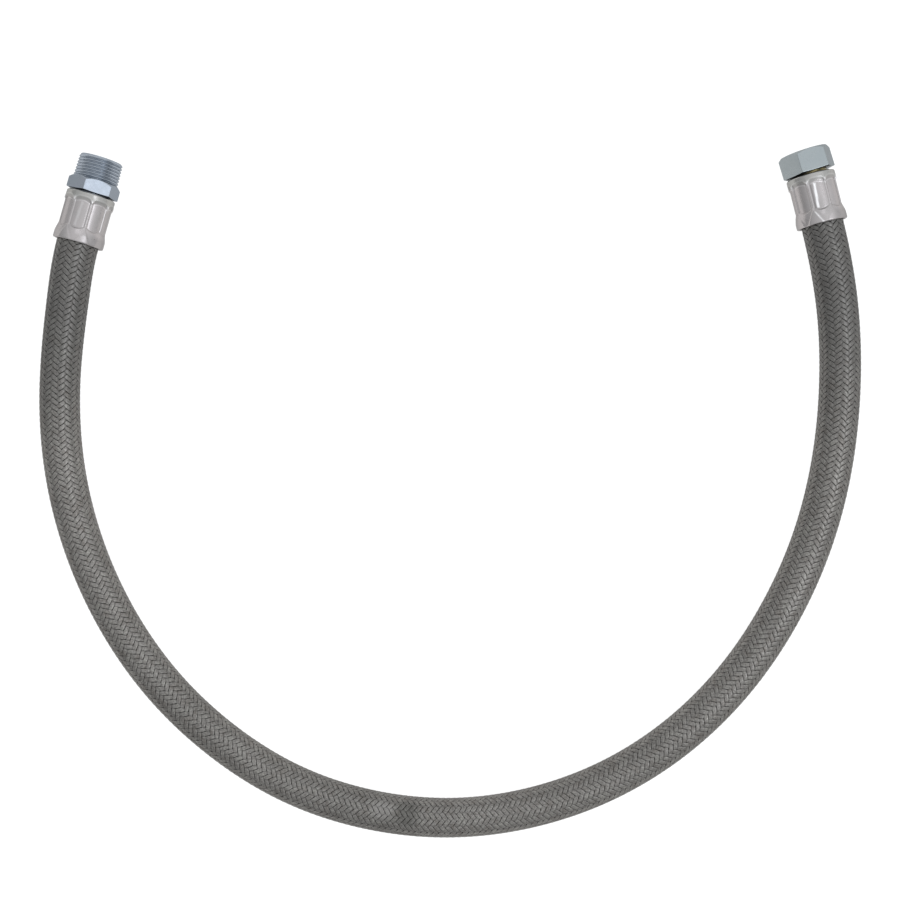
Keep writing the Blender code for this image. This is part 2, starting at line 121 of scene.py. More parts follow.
def around(fitting, rows, angles):
    """Grid of points of a body whose rows run round a fitting's axis.

    A row is a radius and a distance along the axis in mm, each one number or an array over the
    angles. The point is origin + distance * forward + radius * (cos(angle) * right + sin(angle) * up)."""
    origin, right, up, forward = fitting
    radius = np.array([np.broadcast_to(row[0], angles.shape) for row in rows]) * MM
    distance = np.array([np.broadcast_to(row[1], angles.shape) for row in rows]) * MM
    out = np.cos(angles)[:, None] * right + np.sin(angles)[:, None] * up
    return origin + distance[..., None] * forward + radius[..., None] * out


def grid_piece(name, points, finish, closed_rows=False, along=None, across=None, sharp=None, painted_light=None):
    """Mesh of equal grids of points, shaped (grids, rows, columns, 3), whose columns close on themselves.

    Rows close on themselves too, or else each end row gets a flat cap. The UV map holds along, for
    each row or for each row of each grid, and across for the columns. Painted light is a value for
    each point, from -1 for painted shade to 1 for a painted highlight. Edges sharper than a number of
    degrees are creased. The winding is chosen so that the volume comes out positive."""
    grids, rows, columns, _ = points.shape
    steps = rows if closed_rows else rows - 1
    first = (np.arange(grids) * rows * columns)[:, None, None]
    i = np.arange(steps)[None, :, None]
    j = np.arange(columns)[None, None, :]
    i2, j2 = (i + 1) % rows, (j + 1) % columns
    quads = np.stack([first + i * columns + j, first + i * columns + j2,
                      first + i2 * columns + j2, first + i2 * columns + j], -1)
    verts = points.reshape(-1, 3)

    one = verts[quads[0].reshape(-1, 4)] - verts[quads[0]].reshape(-1, 3).mean(0)
    volume = np.einsum('ij,ij->i', one[:, 0], np.cross(one[:, 1], one[:, 2])).sum()
    volume += np.einsum('ij,ij->i', one[:, 0], np.cross(one[:, 2], one[:, 3])).sum()

    uv = None
    if along is not None:
        row_at = np.stack([i, i, i + 1, i + 1], -1)[0] + np.zeros((1, columns, 1), int)
        column_at = np.stack([j, j + 1, j + 1, j], -1)[0] + np.zeros((steps, 1, 1), int)
        along = np.broadcast_to(along, (grids, np.shape(along)[-1]))[:, row_at]
        across = np.broadcast_to(np.asarray(across)[column_at], along.shape)
        uv = np.stack([along, across], -1).reshape(-1, 4, 2)
    quads = quads.reshape(-1, 4)
    loops, sizes = [quads.reshape(-1)], [np.full(len(quads), 4)]
    if not closed_rows:
        caps = np.concatenate([first[:, 0] + np.arange(columns)[None, ::-1],
                               first[:, 0] + (rows - 1) * columns + np.arange(columns)[None, :]])
        loops.append(caps.reshape(-1))
        sizes.append(np.full(len(caps), columns))
    loops, sizes = np.concatenate(loops), np.concatenate(sizes)
    starts = np.concatenate([[0], np.cumsum(sizes)[:-1]])

    mesh = bpy.data.meshes.new(name)
    mesh.vertices.add(len(verts))
    mesh.vertices.foreach_set("co", verts.astype(np.float32).ravel())
    mesh.loops.add(len(loops))
    mesh.loops.foreach_set("vertex_index", loops.astype(np.int32))
    mesh.polygons.add(len(sizes))
    mesh.polygons.foreach_set("loop_start", starts.astype(np.int32))
    mesh.update(calc_edges=True)
    if uv is not None:
        layer = mesh.uv_layers.new(name="lay")
        values = np.zeros((len(loops), 2), np.float32)
        values[:uv.shape[0] * 4] = uv.reshape(-1, 2)
        layer.data.foreach_set("uv", values.ravel())
    if painted_light is not None:
        painted_light_layer = mesh.attributes.new("painted_light", 'FLOAT', 'POINT')
        painted_light_layer.data.foreach_set("value", painted_light.astype(np.float32).ravel())
    if volume < 0.0:
        mesh.flip_normals()
    mesh.validate()
    mesh.shade_smooth()
    if sharp is not None:
        mesh.set_sharp_from_angle(angle=math.radians(sharp))
    mesh.materials.append(finish)
    piece = bpy.data.objects.new(name, mesh)
    bpy.context.scene.collection.objects.link(piece)
    return piece


def smooth(t):
    """Eases from 0 to 1: three t squared less two t cubed."""
    t = np.clip(t, 0.0, 1.0)
    return t * t * (3.0 - 2.0 * t)


# Finishes.
WHITE = (1.0, 1.0, 1.0)


class Nodes:
    """Builds one material's nodes around its Principled shader."""

    def __init__(self, name, colour, roughness, metallic):
        self.material = bpy.data.materials.new(name)
        self.material.use_nodes = True
        self.tree = self.material.node_tree
        self.shader = self.tree.nodes["Principled BSDF"]
        self.shader.inputs["Base Color"].default_value = (*colour, 1.0)
        self.shader.inputs["Roughness"].default_value = roughness
        self.shader.inputs["Metallic"].default_value = metallic
        self.place = self.tree.nodes.new("ShaderNodeTexCoord")

    def feed(self, socket, value):
        """Links a socket to another node's, or sets its own value."""
        if isinstance(value, bpy.types.NodeSocket):
            self.tree.links.new(value, socket)
        elif socket.type == 'RGBA':
            socket.default_value = (*value, 1.0)
        else:
            socket.default_value = value

    def node(self, kind, inputs=(), **settings):
        """New node. Each input is a socket to link or a value to set."""
        made = self.tree.nodes.new("ShaderNode" + kind)
        for key, value in settings.items():
            setattr(made, key, value)
        for key, value in dict(inputs).items():
            self.feed(made.inputs[key], value)
        return made

    def noise(self, scale, detail=3.0, roughness=0.5, vector=None):
        """Noise over the object's own coordinates, or over another vector."""
        made = self.node("TexNoise", {"Vector": vector or self.place.outputs["Object"], "Scale": scale,
                                      "Detail": detail, "Roughness": roughness})
        return made.outputs["Fac"]

    def ramp(self, value, *stops):
        """Colour ramp through (position, colour) stops."""
        made = self.node("ValToRGB", {"Fac": value})
        elements = made.color_ramp.elements
        while len(elements) < len(stops):
            elements.new(0.5)
        for element, (position, colour) in zip(elements, stops):
            element.position = position
            element.color = (*colour, 1.0)
        return made.outputs["Color"]

    def span(self, value, low, high, start=0.0, end=1.0):
        """Maps the range start to end onto low to high."""
        made = self.node("MapRange", {"Value": value, "From Min": start, "From Max": end,
                                      "To Min": low, "To Max": high})
        return made.outputs["Result"]

    def maths(self, operation, *values):
        """One sum on one or two values."""
        made = self.node("Math", operation=operation)
        for socket, value in zip(made.inputs, values):
            self.feed(socket, value)
        return made.outputs["Value"]

    def mix(self, factor, a, b, kind='MIX'):
        """Colour a with colour b laid over it by a factor."""
        made = self.node("Mix", data_type='RGBA', blend_type=kind)
        for number, value in ((0, factor), (6, a), (7, b)):
            self.feed(made.inputs[number], value)
        return made.outputs[2]

    def painted_light_layer(self, colour, dirty, bright):
        """A colour with painted shade and painted highlights over it, by the painted light attribute from -1
        to 1.
        """
        painted_light = self.node("Attribute", attribute_name="painted_light").outputs["Fac"]
        colour = self.mix(self.span(painted_light, 0.0, 1.0, 0.0, -1.0), colour, dirty)
        return self.mix(self.span(painted_light, 0.0, 1.0), colour, bright)

    def parts(self, name):
        """The X, Y and Z sockets of the UV map or of the object's own coordinates."""
        return self.node("SeparateXYZ", {"Vector": self.place.outputs[name]}).outputs

    def set(self, name, value):
        """Feeds the shader."""
        self.tree.links.new(value, self.shader.inputs[name])

    def bump(self, height, distance, strength=1.0, under=None):
        """Surface normal from a height in metres, over another bump if there is one."""
        made = self.node("Bump", {"Height": height, "Distance": distance, "Strength": strength})
        if under is not None:
            self.tree.links.new(under, made.inputs["Normal"])
        return made.outputs["Normal"]


def strand_wire():
    """Bare steel wires lying side by side in each strand, with faint stains and soot, darker up the arms
    towards the ferrules, and painted shade between the wires and where a strand dips under.
    """
    m = Nodes("strand_wire", (0.215, 0.206, 0.194), 0.36, 0.75)
    lay = m.parts("UV")
    steel = m.ramp(m.noise(9.0, 4.0, 0.6), (0.3, (0.203, 0.194, 0.182)), (0.5, (0.232, 0.221, 0.207)),
                   (0.7, (0.265, 0.252, 0.237)))
    tint = m.ramp(m.noise(170.0, 2.0), (0.32, (0.86, 0.84, 0.82)), (0.5, WHITE), (0.68, (1.1, 1.11, 1.09)))
    grains = m.ramp(m.noise(800.0, 2.0), (0.34, (0.74, 0.73, 0.72)), (0.5, WHITE), (0.66, (1.26, 1.26, 1.26)))
    colour = m.mix(1.0, m.mix(1.0, steel, tint, 'MULTIPLY'), grains, 'MULTIPLY')
    soot = m.noise(34.0, 3.0, 0.6)
    colour = m.mix(m.span(soot, 0.0, 0.3, 0.54, 0.74), colour, (0.11, 0.104, 0.097))
    # Darker up the arms towards the ferrules.
    near_ferrules = m.span(m.parts("Object")["Y"], 0.0, 0.5, 0.03, 0.14)
    colour = m.mix(near_ferrules, colour, (0.10, 0.099, 0.097))
    for place, reach, strength, stain in STAINS:
        away = m.node("VectorMath", {0: m.place.outputs["Object"], 1: place}, operation='DISTANCE')
        colour = m.mix(m.span(away.outputs["Value"], strength, 0.0, reach * 0.4, reach), colour, stain)
    # Painted shade: darker in the valleys between the wires, and much darker towards where a strand dips
    # under.
    wire = m.maths('PINGPONG', m.maths('MULTIPLY', lay["Y"], float(WIRES)), 0.5)
    painted_shade_between_wires = m.span(wire, 0.5, 1.0, 0.0, 0.3)
    painted_shade_dipping_under = m.span(lay["X"], 0.06, 1.0, 0.1, 0.75)
    m.set("Base Color", m.mix(1.0, colour, m.maths('MULTIPLY', painted_shade_between_wires, painted_shade_dipping_under), 'MULTIPLY'))
    m.set("Roughness", m.span(m.noise(220.0), 0.29, 0.41, 0.3, 0.7))
    m.set("Normal", m.bump(m.noise(1800.0), 0.00002, 0.5))
    return m.material


def under_braid():
    """The dark layer that shows through the gaps between the strands."""
    m = Nodes("under_braid", (0.03, 0.029, 0.027), 0.75, 0.2)
    m.set("Base Color", m.ramp(m.noise(200.0), (0.3, (0.012, 0.012, 0.011)), (0.7, (0.03, 0.028, 0.026))))
    m.set("Normal", m.bump(m.noise(1500.0), 0.0001, 0.5))
    return m.material


def zinc_plate(name, colour):
    """Machined steel with zinc plating, with faint clouds, the finest of grain, and painted light and shade
    by attribute.
    """
    m = Nodes(name, colour, 0.3, 1.0)
    m.shader.inputs["Specular Tint"].default_value = (0.56, 0.57, 0.58, 1.0)
    clouds = m.ramp(m.noise(70.0, 4.0, 0.6), (0.3, (0.96, 0.965, 0.97)), (0.55, WHITE),
                    (0.75, (1.03, 1.01, 1.025)))
    plated = m.mix(1.0, clouds, colour, 'MULTIPLY')
    m.set("Base Color", m.painted_light_layer(plated, (0.08, 0.09, 0.11), (0.72, 0.78, 0.86)))
    m.set("Roughness", m.span(m.noise(260.0, 5.0, 0.7), 0.26, 0.34, 0.3, 0.7))
    m.set("Normal", m.bump(m.noise(1500.0, 3.0, 0.6), 0.000008, 0.4))
    return m.material


def pressed_steel():
    """Satin steel of the pressed sleeves: warm grey, drawn lines along the axis, a greener bead, and
    painted highlights and painted shade by the painted light attribute."""
    m = Nodes("pressed_steel", (0.408, 0.386, 0.381), 0.3, 1.0)
    m.shader.inputs["Specular Tint"].default_value = (0.6, 0.6, 0.6, 1.0)
    lines = m.node("Mapping", {"Vector": m.place.outputs["UV"], "Scale": (30.0, 160.0, 1.0)})
    drawn = m.noise(1.0, 4.0, 0.65, lines.outputs["Vector"])
    colour = m.ramp(m.noise(55.0, 4.0, 0.6), (0.3, (0.382, 0.365, 0.36)), (0.5, (0.412, 0.388, 0.384)),
                    (0.72, (0.43, 0.40, 0.398)))
    colour = m.mix(m.span(drawn, 0.0, 0.2, 0.5, 0.75), colour, (0.335, 0.335, 0.325))
    bead = m.mix(1.0, colour, (0.92, 0.96, 0.93), 'MULTIPLY')
    colour = m.mix(m.span(m.parts("UV")["X"], 0.0, 1.0, 0.305, 0.33), colour, bead)
    m.set("Base Color", m.painted_light_layer(colour, (0.20, 0.198, 0.195), (0.80, 0.79, 0.79)))
    m.set("Roughness", m.span(drawn, 0.25, 0.36, 0.3, 0.7))
    m.set("Normal", m.bump(drawn, 0.000012, 0.4, m.bump(m.noise(420.0, 3.0), 0.00003, 0.4)))
    return m.material


def brass():
    """Machined brass, dulled to olive brown, with a painted shadow darkening its left side."""
    m = Nodes("brass", (0.33, 0.27, 0.12), 0.34, 1.0)
    colour = m.ramp(m.noise(300.0, 3.0), (0.38, (0.10, 0.088, 0.05)), (0.62, (0.32, 0.27, 0.14)))
    # Painted shadow: the left side is darkened, where the collar lies deep in the gap under the nut.
    painted_shadow_left = m.span(m.parts("Object")["X"], 1.0, 0.0, 0.262, 0.268)
    m.set("Base Color", m.mix(painted_shadow_left, colour, (0.02, 0.019, 0.016)))
    m.set("Roughness", m.span(m.noise(300.0), 0.25, 0.42, 0.3, 0.7))
    m.set("Normal", m.bump(m.noise(1200.0), 0.00003, 0.4))
    return m.material


def rubber():
    """Black rubber of the inner tube, slightly dusty."""
    m = Nodes("liner_rubber", (0.02, 0.02, 0.02), 0.65, 0.0)
    m.set("Base Color", m.ramp(m.noise(90.0), (0.35, (0.014, 0.014, 0.014)), (0.7, (0.035, 0.034, 0.033))))
    m.set("Roughness", m.span(m.noise(300.0), 0.55, 0.8, 0.3, 0.7))
    m.set("Normal", m.bump(m.noise(2500.0), 0.00004, 0.6))
    return m.material


STRAND_WIRE, UNDER_BRAID, RUBBER = strand_wire(), under_braid(), rubber()
STEEL, BRASS = pressed_steel(), brass()
ZINC_BLUE = zinc_plate("zinc_blue", (0.298, 0.328, 0.367))
ZINC_GREEN = zinc_plate("zinc_green", (0.315, 0.345, 0.353))


# Camera and stage.
CAMERA_PLACE = (0.0002, 0.0317, 1.145)
FLOOR_REACH = 4.0
FLOOR_GLOW = 1.25
FLOOR_GLOW_SHARE = 0.75
# Name, place, size in metres and power in watts of each soft box.
SOFT_BOXES = [("soft_box_right", (2.05, -0.45, 3.3), (2.2, 1.25), 16.5),
              ("soft_box_behind", (0.1, 2.1, 3.3), (0.6, 1.4), 2.8)]


def look_straight_down():
    """The photograph looks straight down from 1.145 m through a lens 60 mm long on a 36 mm frame."""
    lens = bpy.data.cameras.new("camera")
    lens.lens = 60.0
    lens.sensor_width = 36.0
    lens.clip_start = 0.05
    camera = bpy.data.objects.new("camera", lens)
    camera.location = CAMERA_PLACE
    bpy.context.scene.collection.objects.link(camera)
    bpy.context.scene.camera = camera


def white_floor():
    """Pale floor that the camera, reflections and glass see as white, with the object's shadow kept."""
    mesh = bpy.data.meshes.new("floor")
    corners = [(x * FLOOR_REACH, y * FLOOR_REACH, 0.0) for x, y in ((-1, -1), (1, -1), (1, 1), (-1, 1))]
    mesh.from_pydata(corners, [], [(0, 1, 2, 3)])
    made = bpy.data.materials.new("floor")
    made.use_nodes = True
    tree = made.node_tree
    tree.nodes.clear()
    out = tree.nodes.new("ShaderNodeOutputMaterial")
    both = tree.nodes.new("ShaderNodeMixShader")
    paint = tree.nodes.new("ShaderNodeBsdfDiffuse")
    paint.inputs["Color"].default_value = (0.8, 0.8, 0.8, 1.0)
    glow = tree.nodes.new("ShaderNodeEmission")
    glow.inputs["Strength"].default_value = FLOOR_GLOW
    path = tree.nodes.new("ShaderNodeLightPath")
    seen = path.outputs["Is Camera Ray"]
    for ray in ("Is Glossy Ray", "Is Transmission Ray"):
        either = tree.nodes.new("ShaderNodeMath")
        either.operation = 'MAXIMUM'
        tree.links.new(seen, either.inputs[0])
        tree.links.new(path.outputs[ray], either.inputs[1])
        seen = either.outputs[0]
    level = tree.nodes.new("ShaderNodeMath")
    level.operation = 'MULTIPLY'
    level.inputs[1].default_value = FLOOR_GLOW_SHARE
    tree.links.new(seen, level.inputs[0])
    tree.links.new(level.outputs[0], both.inputs[0])
    tree.links.new(paint.outputs[0], both.inputs[1])
    tree.links.new(glow.outputs[0], both.inputs[2])
    tree.links.new(both.outputs[0], out.inputs["Surface"])
    mesh.materials.append(made)
    floor = bpy.data.objects.new("floor", mesh)
    bpy.context.scene.collection.objects.link(floor)


def studio_light():
    """A pale room, lighter overhead than at the sides, with soft boxes high up on the right and behind."""
    world = bpy.data.worlds.new("room")
    world.use_nodes = True
    tree = world.node_tree
    background = tree.nodes["Background"]
    background.inputs["Color"].default_value = (0.95, 0.975, 1.0, 1.0)
    where = tree.nodes.new("ShaderNodeTexCoord")
    facing = tree.nodes.new("ShaderNodeVectorMath")
    facing.operation = 'DOT_PRODUCT'
    facing.inputs[1].default_value = (0.42, 0.28, 0.864)
    level = tree.nodes.new("ShaderNodeMapRange")
    for socket, value in (("From Min", -0.6), ("From Max", 1.0), ("To Min", 0.42), ("To Max", 1.2)):
        level.inputs[socket].default_value = value
    tree.links.new(where.outputs["Generated"], facing.inputs[0])
    tree.links.new(facing.outputs["Value"], level.inputs["Value"])
    tree.links.new(level.outputs["Result"], background.inputs["Strength"])
    bpy.context.scene.world = world
    for name, place, size, power in SOFT_BOXES:
        lamp = bpy.data.lights.new(name, 'AREA')
        lamp.color = (0.90, 0.93, 1.0)
        lamp.shape = 'RECTANGLE'
        lamp.size, lamp.size_y = size
        lamp.energy = power
        holder = bpy.data.objects.new(name, lamp)
        holder.location = place
        x, y, z = place
        holder.rotation_euler = (math.atan2(math.hypot(x, y), z), 0.0, math.atan2(x, -y))
        bpy.context.scene.collection.objects.link(holder)


look_straight_down()
white_floor()
studio_light()
bpy.context.scene.view_settings.view_transform = 'Standard'


# Hose.
def clamped_spline(points, start_direction, end_direction, distances):
    """Points and directions on a cubic curve through the given points, with set directions at its ends.

    The parameter is the chord length, and the slopes solve the three-term equations that make the
    second derivative continuous."""
    chords = np.linalg.norm(np.diff(points, axis=0), axis=1)
    knots = np.concatenate([[0.0], np.cumsum(chords)])
    count = len(points)
    inner = np.arange(1, count - 1)
    before, after = chords[:-1], chords[1:]
    system = np.eye(count)
    system[inner, inner - 1] = after
    system[inner, inner] = 2.0 * (before + after)
    system[inner, inner + 1] = before
    right = np.zeros((count, 3))
    right[0], right[-1] = start_direction, end_direction
    step = np.diff(points, axis=0)
    right[1:-1] = 3.0 * ((after / before)[:, None] * step[:-1] + (before / after)[:, None] * step[1:])
    slopes = np.linalg.solve(system, right)
    i = np.clip(np.searchsorted(knots, distances) - 1, 0, count - 2)
    h = chords[i][:, None]
    t = ((distances - knots[i]) / chords[i])[:, None]
    return (points[i] * (1 + 2 * t) * (1 - t) ** 2 + slopes[i] * h * t * (1 - t) ** 2
            + points[i + 1] * t * t * (3 - 2 * t) + slopes[i + 1] * h * t * t * (t - 1))


def hose_centreline():
    """Dense points from the hose's end in the male ferrule to its end in the swivel ferrule.

    Straight over the nipples' tails, and along the route between them, coming down from each
    fitting's axis to the floor over a set length."""
    start = MALE[0] + MALE[3] * TAIL_START
    end = SWIVEL[0] + SWIVEL[3] * TAIL_START
    flat = np.vstack([start[:2], HOSE_ROUTE, end[:2]])
    walked = np.concatenate([[0.0], np.cumsum(np.linalg.norm(np.diff(flat, axis=0), axis=1))])
    lift = (start[2] - HOSE_RADIUS) * (1.0 - smooth(walked / HOSE_FALL))
    lift += (end[2] - HOSE_RADIUS) * (1.0 - smooth((walked[-1] - walked) / HOSE_FALL))
    points = np.column_stack([flat, HOSE_RADIUS + lift])
    points[0], points[-1] = start, end
    length = np.linalg.norm(np.diff(points, axis=0), axis=1).sum()
    free = clamped_spline(points, -MALE[3], SWIVEL[3], np.linspace(0.0, length, 3000))
    free[:, 2] = np.maximum(free[:, 2], HOSE_RADIUS)
    inside = np.linspace(HOSE_SEAT - TAIL_START, 0.0, 60, endpoint=False)[:, None]
    return np.vstack([start + MALE[3] * inside, free, end + SWIVEL[3] * inside[::-1]])


CENTRE = hose_centreline()
ARC = np.concatenate([[0.0], np.cumsum(np.linalg.norm(np.diff(CENTRE, axis=0), axis=1))])
HOSE_LENGTH = ARC[-1]
FORWARD = np.gradient(CENTRE, axis=0)
FORWARD /= np.linalg.norm(FORWARD, axis=1)[:, None]


def hose_radius(s):
    """Outside radius of the braid: swollen at the ferrules' mouths, slimmer round the bottom of the U."""
    share = (s - HOSE_SEAT) / (HOSE_LENGTH - 2.0 * HOSE_SEAT)
    return np.interp(share, *np.array(HOSE_SWELL).T) * MM


def hose_frame(s):
    """Centre, sideways and upward directions of the hose at distances along it."""
    s = np.clip(s, 0.0, HOSE_LENGTH)
    centre = np.stack([np.interp(s, ARC, CENTRE[:, k]) for k in range(3)], -1)
    forward = np.stack([np.interp(s, ARC, FORWARD[:, k]) for k in range(3)], -1)
    side = np.cross(forward, (0.0, 0.0, 1.0))
    side /= np.linalg.norm(side, axis=-1)[..., None]
    centre[..., 2] -= HOSE_RADIUS - np.minimum(hose_radius(s), HOSE_RADIUS)
    return centre, side, np.cross(side, forward)


def on_hose(s, angle, radius):
    """Points at a distance along the hose, an angle round it and a radius from its centreline."""
    centre, side, up = hose_frame(s)
    return centre + radius[..., None] * (np.cos(angle)[..., None] * side + np.sin(angle)[..., None] * up)


def stations(table, s):
    """Values at distances along the hose, from a table of (share of its length, value)."""
    return np.interp(s / HOSE_LENGTH, *np.array(table).T)


def rows_passed():
    """Distances along the hose and the number of rows of crossings passed on the way to each."""
    s = np.linspace(0.0, HOSE_LENGTH, 4000)
    rate = stations(ROWS_PER_METRE, s)
    passed = np.concatenate([[0.0], np.cumsum((rate[1:] + rate[:-1]) / 2.0 * np.diff(s))])
    return s, passed - stations(ROWS_BACK, s)


def strand_section():
    """Across one strand: places from -1 to 1 and heights in mm over its middle plane.

    The top is a low crown with a peak for each wire and a valley on each side of it, and the
    underside is flat."""
    x = np.linspace(-1.0, 1.0, 2 * WIRES + 1)
    thick = STRAND_THICKNESS / MM
    crown = thick / 2.0 - STRAND_CROWN * x ** 4
    valley = np.arange(2 * WIRES + 1) % 2 == 0
    height = np.where(valley, crown - WIRE_RISE / MM, crown)
    height[[0, -1]] = -0.1 * thick
    x = np.concatenate([x, [0.8, -0.8]])
    return x, np.concatenate([height, [-thick / 2.0, -thick / 2.0]])


def braid_strands(name, numbers, way):
    """Flat strands that run round the hose as helices, each over two crossings and under two.

    With m the number of crossing rows passed, strand k lies at angle turn + 2 pi k / STRANDS plus or
    minus pi m / STRANDS. Its height is a squared-off cosine of m with a period of four rows, whose
    peak moves by two rows from each strand to the next and by one row for the other way. A strand is
    narrower by the waist's share where it passes from over to under. Its section is laid on the
    hose by moving each of its points along and round."""
    place, height = strand_section()
    hose_s, hose_m = rows_passed()
    m = np.arange(hose_m[0], hose_m[-1], 1.0 / STEPS_PER_ROW)
    s = np.interp(m, hose_m, hose_s)
    circle = np.pi / STRANDS
    slope = np.arctan2(circle * HOSE_RADIUS * stations(ROWS_PER_METRE, s), 1.0)[:, None]
    k = np.asarray(numbers)[:, None]
    peak = 0.5 - 2.0 * k if way > 0 else 1.5 + 2.0 * k
    wave = np.tanh(WAVE_SQUARENESS * np.cos(np.pi / 2.0 * (m - peak))) / math.tanh(WAVE_SQUARENESS)
    x = place * STRAND_WIDTH / 2.0 * (1.0 - STRAND_WAIST * (1.0 - wave[:, :, None] ** 2))
    shifted = np.clip(s[:, None] - way * x * np.sin(slope), 0.0, HOSE_LENGTH)
    radius = hose_radius(shifted) - STRAND_THICKNESS / 2.0 + height * MM
    radius = radius - STRAND_THICKNESS * STRAND_DIP * (1.0 - wave[:, :, None]) / 2.0
    angle = np.radians(stations(WEAVE_TURN, s)) + 2.0 * circle * k + way * circle * m
    points = on_hose(shifted, angle[:, :, None] + x * np.cos(slope) / HOSE_RADIUS, radius)
    across = np.concatenate([(place[:-2] + 1.0) / 2.0, [1.2, 1.6, 2.0]])
    return grid_piece(name, points, STRAND_WIRE, along=(1.0 + wave) / 2.0, across=across, sharp=70.0)


def hose_tube(name, s, outer, inner, finish):
    """Tube round the hose's centreline: circles of the outer radius at each distance along the hose,
    and back along circles of the inner radius."""
    angles = np.linspace(0.0, 2.0 * np.pi, TUBE_SIDES, endpoint=False)[None, :]
    walls = [on_hose(s[:, None], angles, radius[:, None] + 0.0 * angles) for radius in (outer, inner)]
    return grid_piece(name, np.vstack([walls[0], walls[1][::-1]])[None], finish, closed_rows=True)


def hose_pieces():
    """The rubber liner, the dark layer under the braid, which is declared as the hose, and the strands."""
    s = np.linspace(0.0, HOSE_LENGTH, TUBE_RINGS)
    outer = hose_radius(s) - 2.0 * STRAND_THICKNESS + CORE_OVERLAP
    core = hose_tube("under_braid", s, outer, outer - CORE_WALL, UNDER_BRAID)
    strands = []
    for side, way in (("right", 1), ("left", -1)):
        for first in range(0, STRANDS, STRANDS_PER_PIECE):
            numbers = range(first, min(first + STRANDS_PER_PIECE, STRANDS))
            strands.append(braid_strands(f"strands_{side}_{first // STRANDS_PER_PIECE + 1}", numbers, way))
    liner = hose_tube("liner_tube", s, outer - CORE_WALL - CORE_GAP, 0.0 * s + LINER_BORE, RUBBER)
    for piece in (liner, core, *strands):
        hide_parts("rubber_liner" if piece is liner else "wire_braid")
        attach(piece, "hose_assembly")
    path = [tuple(point) for point in hose_frame(np.linspace(0.0, HOSE_LENGTH, 241))[0]]


hose_pieces()


# Fittings, all sizes in mm. A ferrule's rings are its main radii, its arcs are where a panel's front
# and back ends lie beside a fold and how much further they reach at its middle, and its crest is the
# same for the top of the rise into the bead.
JAWS = 8
FERRULE_LENGTH = 37.5
PANEL_RING, BEAD_RING, FLARE_RING = 16.95, 17.95, 17.25
FRONT_ARC, BACK_ARC, CREST_ARC = (28.8, 1.8), (12.9, -2.6), (30.3, 3.6)
FLARE_RISE = 1.4
RIM_ROUND, FRONT_ROUND = 0.72, 1.2


def bump_at(distance, reach):
    """Round hump of height 1: e to the minus square of distance over reach."""
    return np.exp(-(distance / reach) ** 2)


